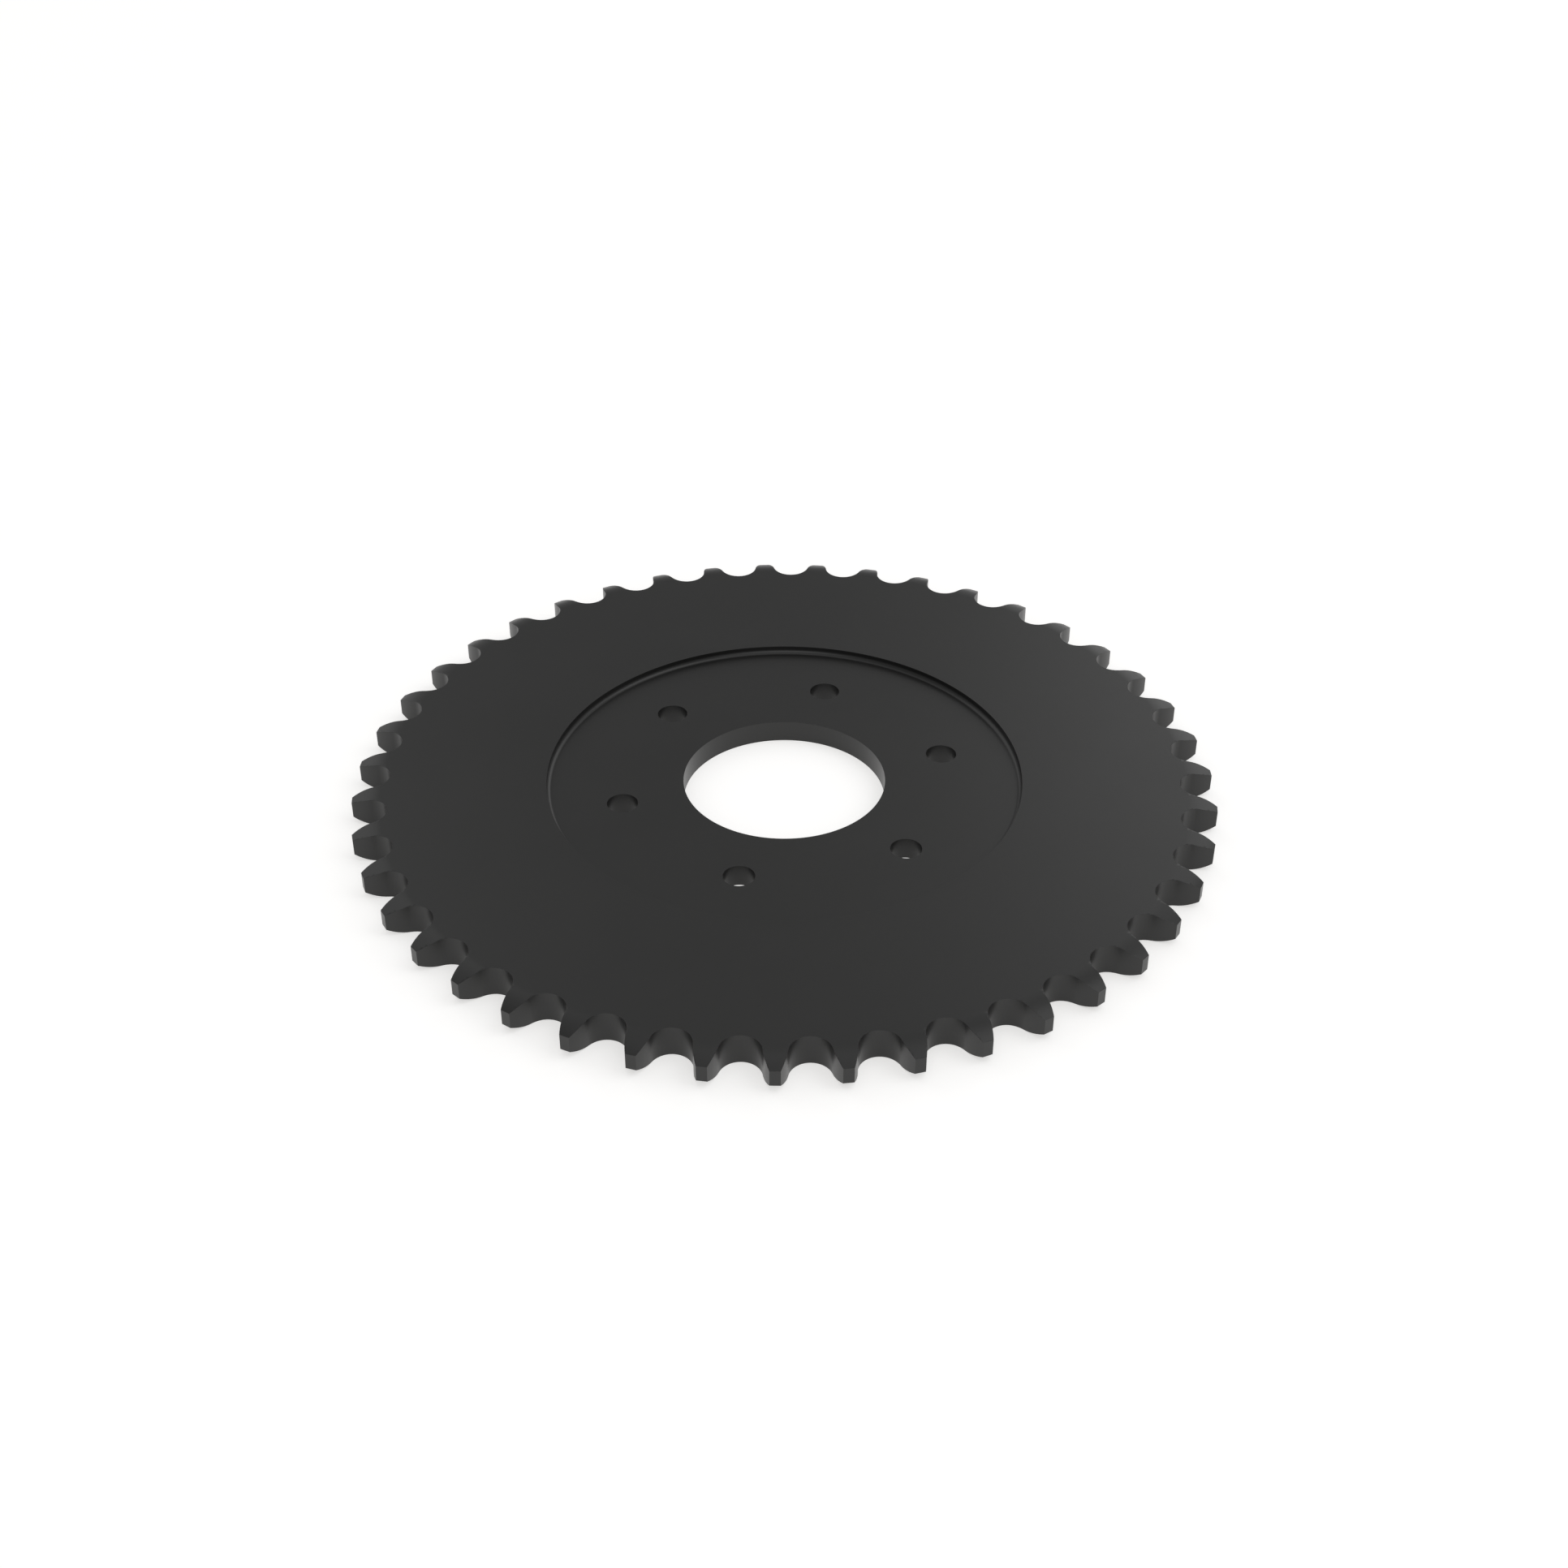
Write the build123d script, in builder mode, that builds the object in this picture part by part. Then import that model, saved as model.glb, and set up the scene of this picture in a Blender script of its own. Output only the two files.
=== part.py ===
"""Rear drive sprocket for a motorcycle: one steel plate, turned on a lathe, hobbed and drilled.

The frame is the sprocket's own. Its axle is Z, the flat back face lies on z = 0, and the turned
face with the shallow recess looks along +Z. A tooth gap and a bolt hole both stand on +X.
"""

from build123d import *
from math import cos, pi, sin, sqrt
import os

# The chain that runs on it
chain_pitch = 15.875
roller_diameter = 10.16

# Teeth, as seen along the axle
tooth_count = 43
tip_height = 4.3
tip_land = 2.57
seat_angle = 155.0

# Teeth, as seen edge on: both sides curve in towards the tip, so that the chain's plates find them
side_relief = 1.88
side_relief_radius = chain_pitch

# Plate, whose recess has a square wall with a rounded corner at its foot
rim_thickness = 8.1
recess_diameter = 125.0
recess_depth = 2.1
recess_corner_radius = 1.2
bore_diameter = 53.2

# Bolts that hold it to the wheel's hub
bolt_circle_diameter = 87.1
bolt_count = 6
bolt_hole_diameter = 8.1

# Room that a cutter has beyond the metal it cuts
overrun = 1.0

# The rollers' centres stand on the pitch circle, one chain pitch apart in a straight line
pitch_radius = chain_pitch / (2 * sin(pi / tooth_count))
tip_radius = pitch_radius + tip_height

# The web is what the recess leaves of the plate
web_thickness = rim_thickness - recess_depth
recess_radius = recess_diameter / 2

# A tooth's tip is a land between two corners. This one is the near corner of the tooth over +X
corner_angle = pi / tooth_count - tip_land / (2 * tip_radius)
tip_corner = (tip_radius * cos(corner_angle), tip_radius * sin(corner_angle))

# A roller beds on the whole seat, which is cut to the roller's own radius
seat_radius = roller_diameter / 2

# The side relief is an arc tangent to the plate's face, side_relief deep where it meets the tip
relief_width = sqrt(side_relief_radius**2 - (side_relief_radius - side_relief) ** 2)
relief_start_radius = tip_radius - relief_width

# Outline of one tooth gap: the roller's seat, and on each side a flank that runs on from the seat
# in one arc to the corner of the tooth's tip
with BuildSketch() as tooth_gap:
    with BuildLine():
        seat = CenterArc((pitch_radius, 0), seat_radius, 180, -seat_angle / 2)
        flank = TangentArc(seat @ 1, tip_corner, tangent=seat % 1)
        mouth = Line(flank @ 1, flank @ 1 + (flank % 1) * overrun)
        Line(mouth @ 1, ((mouth @ 1).X, 0))
        mirror(about=Plane.XZ)
    make_face()

with BuildPart() as sprocket:
    # The turned blank, from the bore's edge round to the teeth's tips and back over the recess
    with BuildSketch(Plane.XZ):
        with BuildLine():
            bore_back = (bore_diameter / 2, 0)
            relief_back = (relief_start_radius, 0)
            tip_back = (tip_radius, side_relief)
            tip_front = (tip_radius, rim_thickness - side_relief)
            relief_front = (relief_start_radius, rim_thickness)
            recess_edge = (recess_radius, rim_thickness)
            recess_wall = (recess_radius, web_thickness + recess_corner_radius)
            recess_floor = (recess_radius - recess_corner_radius, web_thickness)
            bore_front = (bore_diameter / 2, web_thickness)
            Line(bore_back, relief_back)
            RadiusArc(relief_back, tip_back, -side_relief_radius)
            Line(tip_back, tip_front)
            RadiusArc(tip_front, relief_front, -side_relief_radius)
            Line(relief_front, recess_edge)
            Line(recess_edge, recess_wall)
            RadiusArc(recess_wall, recess_floor, recess_corner_radius)
            Line(recess_floor, bore_front)
            Line(bore_front, bore_back)
        make_face()
    revolve(axis=Axis.Z)

    # Tooth gaps, hobbed right through the rim
    with BuildSketch():
        with PolarLocations(0, tooth_count):
            add(tooth_gap.sketch)
    extrude(amount=rim_thickness, mode=Mode.SUBTRACT)

    # Bolt holes, drilled right through the web
    with PolarLocations(bolt_circle_diameter / 2, bolt_count):
        Hole(bolt_hole_diameter / 2)

sprocket.part.label = "sprocket"

os.makedirs("parts", exist_ok=True)
export_step(sprocket.part, "parts/sprocket.step")
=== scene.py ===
from math import acos, cos, pi, radians, sin

import bpy
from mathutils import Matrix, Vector


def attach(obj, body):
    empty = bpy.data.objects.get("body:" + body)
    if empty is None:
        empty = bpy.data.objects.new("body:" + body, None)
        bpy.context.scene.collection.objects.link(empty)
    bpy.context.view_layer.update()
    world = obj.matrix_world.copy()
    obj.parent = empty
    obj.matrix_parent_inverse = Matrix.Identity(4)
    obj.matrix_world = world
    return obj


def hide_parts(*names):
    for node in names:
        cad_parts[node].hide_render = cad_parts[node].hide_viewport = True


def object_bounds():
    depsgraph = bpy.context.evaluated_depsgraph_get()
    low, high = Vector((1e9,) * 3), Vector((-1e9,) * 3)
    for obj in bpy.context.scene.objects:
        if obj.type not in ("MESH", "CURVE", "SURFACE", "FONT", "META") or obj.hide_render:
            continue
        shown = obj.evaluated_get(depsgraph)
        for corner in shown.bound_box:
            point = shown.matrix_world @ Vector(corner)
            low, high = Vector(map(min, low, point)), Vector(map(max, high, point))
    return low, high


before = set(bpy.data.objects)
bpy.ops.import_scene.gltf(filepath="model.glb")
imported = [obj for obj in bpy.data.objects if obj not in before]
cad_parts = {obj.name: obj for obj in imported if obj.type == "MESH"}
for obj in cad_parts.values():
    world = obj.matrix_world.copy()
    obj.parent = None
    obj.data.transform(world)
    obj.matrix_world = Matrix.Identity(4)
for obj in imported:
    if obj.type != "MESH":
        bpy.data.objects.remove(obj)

cad_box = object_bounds()

# ---------------------------------------------------------------------------------------------
# The sprocket is one steel plate. A lathe faces both sides, cuts the recess and bores the middle, a
# hob cuts the tooth gaps, a drill makes the bolt holes, and a file takes the sharpness off every edge.
# ---------------------------------------------------------------------------------------------
tooth_count = 43
chain_pitch = 0.015875
pitch_radius = chain_pitch / (2 * sin(pi / tooth_count))
tip_height = 0.0043
tip_radius = pitch_radius + tip_height
tip_land = 0.00257
seat_radius = 0.00508
seat_angle = 155
seat_turn = radians(seat_angle / 2)
side_relief = 0.00188
side_relief_radius = chain_pitch

rim_thickness = 0.0081
web_thickness = 0.0060
recess_radius = 0.0625
recess_corner_radius = 0.0012
bore_radius = 0.0266

bolt_count = 6
bolt_circle_radius = 0.04355
bolt_hole_radius = 0.00405

filed_edge = 0.00008
filed_angle = radians(35)
smooth_angle = radians(50)
overrun = 0.001

points_per_tooth = 12
arc_steps = 8
seat_steps = 20
hole_points = 72
point_merge = 1e-7
mirror_merge = 1e-6
sliver_merge = 2e-6

# The plate's section on one side of the axle, from the back of the bore out round a tooth's tip and
# over the recess
relief_turn = acos(1 - side_relief / side_relief_radius)
relief_start = tip_radius - side_relief_radius * sin(relief_turn)
relief_arc = []
corner_arc = []
for step in range(arc_steps + 1):
    turn = relief_turn * step / arc_steps
    relief_arc.append((relief_start + side_relief_radius * sin(turn), side_relief_radius * (1 - cos(turn))))
    turn = pi / 2 * step / arc_steps
    corner_arc.append((
        recess_radius - recess_corner_radius * (1 - cos(turn)),
        web_thickness + recess_corner_radius * (1 - sin(turn)),
    ))
section = [(bore_radius, 0), *relief_arc]
section += [(radius, rim_thickness - height) for radius, height in reversed(relief_arc)]
section += [(recess_radius, rim_thickness), *corner_arc, (bore_radius, web_thickness), (bore_radius, 0)]

# The blank is turned ring by ring along that section
bpy.ops.object.select_all(action="DESELECT")
bpy.ops.mesh.primitive_circle_add(vertices=points_per_tooth * tooth_count, radius=bore_radius)
plate = bpy.context.object
plate.name = "sprocket_plate"
bpy.ops.object.mode_set(mode="EDIT")
bpy.ops.mesh.select_all(action="SELECT")
for (radius, height), (next_radius, next_height) in zip(section, section[1:]):
    growth = next_radius / radius
    bpy.ops.mesh.extrude_edges_indiv()
    bpy.ops.transform.resize(value=(growth, growth, 1), center_override=(0, 0, 0))
    bpy.ops.transform.translate(value=(0, 0, next_height - height))
bpy.ops.mesh.select_all(action="SELECT")
bpy.ops.mesh.remove_doubles(threshold=point_merge)
bpy.ops.mesh.normals_make_consistent(inside=False)
bpy.ops.object.mode_set(mode="OBJECT")

# One flank turns about a centre beyond the end of the seat, out to the corner of the tooth's tip
corner_turn = pi / tooth_count - tip_land / (2 * tip_radius)
tip_corner = Vector((tip_radius * cos(corner_turn), tip_radius * sin(corner_turn), 0))
seat_centre = Vector((pitch_radius, 0, 0))
seat_way = Vector((-cos(seat_turn), sin(seat_turn), 0))
seat_end = seat_centre + seat_radius * seat_way
flank_span = tip_corner - seat_end
flank_radius = flank_span.length_squared / (2 * flank_span.dot(seat_way))
flank_centre = seat_end + flank_radius * seat_way
flank_turn = (seat_end - flank_centre).angle(tip_corner - flank_centre)
mouth_way = Vector((0, 0, 1)).cross(tip_corner - flank_centre).normalized()


def pick(thing, chosen):
    """Open a mesh for editing with only the chosen points selected."""
    bpy.ops.object.mode_set(mode="EDIT")
    bpy.ops.mesh.select_mode(type="VERT")
    bpy.ops.mesh.select_all(action="DESELECT")
    bpy.ops.object.mode_set(mode="OBJECT")
    for vertex in thing.data.vertices:
        vertex.select = chosen(vertex.co)
    bpy.ops.object.mode_set(mode="EDIT")


# The cutter for a tooth gap is swept from one upright edge at the bottom of the seat, then mirrored
cutter_height = rim_thickness + 2 * overrun
bpy.ops.object.select_all(action="DESELECT")
bpy.ops.mesh.primitive_plane_add(
    size=cutter_height,
    location=(0, 0, rim_thickness / 2),
    rotation=(0, pi / 2, 0),
)
gaps = bpy.context.object
bpy.ops.object.transform_apply(location=True, rotation=True, scale=True)
pick(gaps, lambda place: place.y > 0)
bpy.ops.mesh.delete(type="VERT")
bpy.ops.mesh.select_all(action="SELECT")
bpy.ops.transform.translate(value=(pitch_radius - seat_radius, cutter_height / 2, 0))
bpy.ops.mesh.spin(steps=seat_steps, angle=seat_turn, center=seat_centre, axis=(0, 0, 1))
bpy.ops.mesh.spin(steps=arc_steps, angle=flank_turn, center=flank_centre, axis=(0, 0, -1))
bpy.ops.mesh.extrude_edges_indiv()
bpy.ops.transform.translate(value=mouth_way * overrun)
bpy.ops.object.mode_set(mode="OBJECT")
bpy.ops.object.modifier_add(type="MIRROR")
gaps.modifiers["Mirror"].use_axis = (False, True, False)
gaps.modifiers["Mirror"].merge_threshold = mirror_merge
bpy.ops.object.modifier_apply(modifier="Mirror")
pick(gaps, lambda place: place.x > tip_radius)
bpy.ops.mesh.edge_face_add()
bpy.ops.mesh.select_all(action="SELECT")
bpy.ops.mesh.fill_holes(sides=0)
bpy.ops.mesh.select_all(action="SELECT")
last_gap = 2 * pi * (tooth_count - 1) / tooth_count
bpy.ops.mesh.spin(steps=tooth_count - 1, dupli=True, angle=last_gap, center=(0, 0, 0), axis=(0, 0, 1))
bpy.ops.mesh.select_all(action="SELECT")
bpy.ops.mesh.normals_make_consistent(inside=False)
bpy.ops.object.mode_set(mode="OBJECT")

# The drill for the bolt holes
bpy.ops.object.select_all(action="DESELECT")
bpy.ops.mesh.primitive_cylinder_add(
    vertices=hole_points,
    radius=bolt_hole_radius,
    depth=cutter_height,
    location=(bolt_circle_radius, 0, rim_thickness / 2),
)
drills = bpy.context.object
bpy.ops.object.transform_apply(location=True, rotation=True, scale=True)
bpy.ops.object.mode_set(mode="EDIT")
bpy.ops.mesh.select_all(action="SELECT")
last_hole = 2 * pi * (bolt_count - 1) / bolt_count
bpy.ops.mesh.spin(steps=bolt_count - 1, dupli=True, angle=last_hole, center=(0, 0, 0), axis=(0, 0, 1))
bpy.ops.object.mode_set(mode="OBJECT")

# The cutters go through the blank and the slivers they leave are merged. Then the edges are filed, and
# shading is smooth round every arc and flat on the faces
bpy.ops.object.select_all(action="DESELECT")
bpy.context.view_layer.objects.active = plate
plate.select_set(True)
for cutter in (gaps, drills):
    bpy.ops.object.modifier_add(type="BOOLEAN")
    plate.modifiers["Boolean"].operation = "DIFFERENCE"
    plate.modifiers["Boolean"].solver = "EXACT"
    plate.modifiers["Boolean"].object = cutter
    bpy.ops.object.modifier_apply(modifier="Boolean")
    bpy.data.objects.remove(cutter)
pick(plate, lambda place: True)
bpy.ops.mesh.remove_doubles(threshold=sliver_merge)
bpy.ops.object.mode_set(mode="OBJECT")
bpy.ops.object.modifier_add(type="BEVEL")
plate.modifiers["Bevel"].width = filed_edge
plate.modifiers["Bevel"].segments = 2
plate.modifiers["Bevel"].limit_method = "ANGLE"
plate.modifiers["Bevel"].angle_limit = filed_angle
bpy.ops.object.modifier_apply(modifier="Bevel")
bpy.ops.object.shade_smooth_by_angle(angle=smooth_angle)
bpy.ops.object.modifier_add(type="WEIGHTED_NORMAL")
plate.modifiers["WeightedNormal"].keep_sharp = True
bpy.ops.object.modifier_apply(modifier="WeightedNormal")

# The finish: a thin black coat, the spacing of the tool's feed lines under it, and the size of its
# clouds and of its grain
coat_dark = (0.0085, 0.0088, 0.0084, 1)
coat_light = (0.0120, 0.0118, 0.0112, 1)
coat_roughness = 0.34
coat_relief = 0.0001
feed_step = 0.0004
cloud_width = 0.022
grain_width = 0.0005


class Socket:
    """One socket in a material. A sum written with it adds the Math nodes that work it out."""

    def __init__(self, tree, socket):
        self.tree = tree
        self.socket = socket

    def node(self, kind, settings, inputs, output=0):
        """Add a node of any kind: its settings first, then its inputs' values or links."""
        made = self.tree.nodes.new(kind)
        for name, value in settings.items():
            setattr(made, name, value)
        for name, value in inputs.items():
            if isinstance(value, Socket):
                self.tree.links.new(value.socket, made.inputs[name])
            else:
                made.inputs[name].default_value = value
        return Socket(self.tree, made.outputs[output])

    def sum(self, operation, first, second):
        return self.node("ShaderNodeMath", {"operation": operation}, {0: first, 1: second})

    def __add__(self, other):
        return self.sum("ADD", self, other)

    def __sub__(self, other):
        return self.sum("SUBTRACT", self, other)

    def __rsub__(self, other):
        return self.sum("SUBTRACT", other, self)

    def __mul__(self, other):
        return self.sum("MULTIPLY", self, other)

    def __truediv__(self, other):
        return self.sum("DIVIDE", self, other)

    def __pow__(self, other):
        return self.sum("POWER", self, other)

    __radd__ = __add__
    __rmul__ = __mul__


steel = bpy.data.materials.new("blackened_steel")
steel.use_nodes = True
shader = steel.node_tree.nodes["Principled BSDF"]
place = Socket(steel.node_tree, None).node("ShaderNodeTexCoord", {}, {}, "Object")
facing = Socket(steel.node_tree, None).node("ShaderNodeTexCoord", {}, {}, "Normal")

# A face that looks up or down was fed across, from the axle outwards, and a wall was fed along the axle
x = place.node("ShaderNodeSeparateXYZ", {}, {"Vector": place}, "X")
y = place.node("ShaderNodeSeparateXYZ", {}, {"Vector": place}, "Y")
z = place.node("ShaderNodeSeparateXYZ", {}, {"Vector": place}, "Z")
tilt = facing.node("ShaderNodeSeparateXYZ", {}, {"Vector": facing}, "Z")
flat = (tilt * tilt).node("ShaderNodeMapRange", {}, {"Value": tilt * tilt, "From Min": 0.5, "From Max": 0.7})
fed = flat * (x * x + y * y) ** 0.5 + (1 - flat) * z
lines = fed.node("ShaderNodeTexNoise", {"noise_dimensions": "1D"}, {"W": fed / feed_step, "Detail": 1.0})

# The coat is cloudy from its bath, and has a fine grain
clouds = place.node("ShaderNodeTexNoise", {}, {"Vector": place, "Scale": 1 / cloud_width, "Detail": 4.0})
grain = place.node("ShaderNodeTexNoise", {}, {"Vector": place, "Scale": 1 / grain_width, "Detail": 2.0})

tone = clouds * 0.7 + grain * 0.3
colour = tone.node(
    "ShaderNodeMix",
    {"data_type": "RGBA"},
    {"Factor": tone, 6: coat_dark, 7: coat_light},
    2,
)
roughness = coat_roughness + 0.08 * (clouds - 0.5) + 0.05 * (lines - 0.5) + 0.06 * (grain - 0.5)
height = 0.6 * lines + 0.4 * grain
relief = height.node("ShaderNodeBump", {}, {"Strength": 0.05, "Distance": coat_relief, "Height": height})

steel.node_tree.links.new(colour.socket, shader.inputs["Base Color"])
steel.node_tree.links.new(roughness.socket, shader.inputs["Roughness"])
steel.node_tree.links.new(relief.socket, shader.inputs["Normal"])
plate.data.materials.append(steel)
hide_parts("sprocket")
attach(plate, "root")

# ---------------------------------------------------------------------------------------------
# The floor is a light table, a sheet of white acrylic that is lit evenly from below, so that it stays
# white right up to the sprocket, which lies on it.
# ---------------------------------------------------------------------------------------------
floor_width = 8
bpy.ops.object.select_all(action="DESELECT")
bpy.ops.mesh.primitive_plane_add(size=floor_width, location=(0, 0, 0))
floor = bpy.context.object
floor.name = "floor"
acrylic = bpy.data.materials.new("acrylic")
acrylic.use_nodes = True
sheet = acrylic.node_tree.nodes["Principled BSDF"]
sheet.inputs["Base Color"].default_value = (0.66, 0.66, 0.66, 1)
sheet.inputs["Roughness"].default_value = 0.9
sheet.inputs["Specular IOR Level"].default_value = 0.0
sheet.inputs["Emission Color"].default_value = (1, 0.99, 0.975, 1)
sheet.inputs["Emission Strength"].default_value = 0.57
floor.data.materials.append(acrylic)

# ---------------------------------------------------------------------------------------------
# The camera looks down at the sprocket's middle, a little more than half a metre off, at the slant of
# a person who looks at a part on a table.
# ---------------------------------------------------------------------------------------------
low, high = Vector(cad_box[0]), Vector(cad_box[1])
middle = (low + high) / 2
camera_azimuth = 45
camera_elevation = 35.42
camera_distance = 0.57655


def away(azimuth, elevation):
    """The direction out from the sprocket's middle at this azimuth and elevation, in degrees."""
    turn, rise = radians(azimuth), radians(elevation)
    return Vector((sin(turn) * cos(rise), -cos(turn) * cos(rise), sin(rise)))


def aim(thing, direction, distance):
    """Put a camera or a lamp this far out in this direction, looking at the sprocket's middle."""
    thing.location = middle + direction * distance
    thing.rotation_euler = direction.to_track_quat("Z", "Y").to_euler()
    bpy.context.scene.collection.objects.link(thing)


lens = bpy.data.cameras.new("camera")
lens.lens = 50
lens.sensor_width = 36
camera = bpy.data.objects.new("camera", lens)
aim(camera, away(camera_azimuth, camera_elevation), camera_distance)
bpy.context.scene.camera = camera
bpy.context.scene.view_settings.view_transform = "Standard"

# ---------------------------------------------------------------------------------------------
# The studio is a dim white room with six large square soft boxes, two metres off: one in front, one on
# the right, one overhead and three behind the sprocket. Azimuths count from the camera's.
# ---------------------------------------------------------------------------------------------
room = bpy.data.worlds.new("room")
room.use_nodes = True
room.node_tree.nodes["Background"].inputs["Color"].default_value = (1, 1, 1, 1)
room.node_tree.nodes["Background"].inputs["Strength"].default_value = 0.32
bpy.context.scene.world = room

box_distance = 2.0
# Name, azimuth, elevation, width and watts
soft_boxes = [
    ("front_box", 0, 35, 1.5, 7.4),
    ("right_box", 90, 50, 1.5, 7.8),
    ("top_box", 0, 90, 1.5, 3.0),
    ("back_top_box", 180, 60, 1.5, 1.4),
    ("back_right_box", 150, 25, 1.2, 3.6),
    ("back_left_box", 225, 32, 1.5, 3.8),
]
for name, azimuth, elevation, width, watts in soft_boxes:
    lamp = bpy.data.lights.new(name, "AREA")
    lamp.shape = "SQUARE"
    lamp.size = width
    lamp.energy = watts
    aim(bpy.data.objects.new(name, lamp), away(camera_azimuth + azimuth, elevation), box_distance)
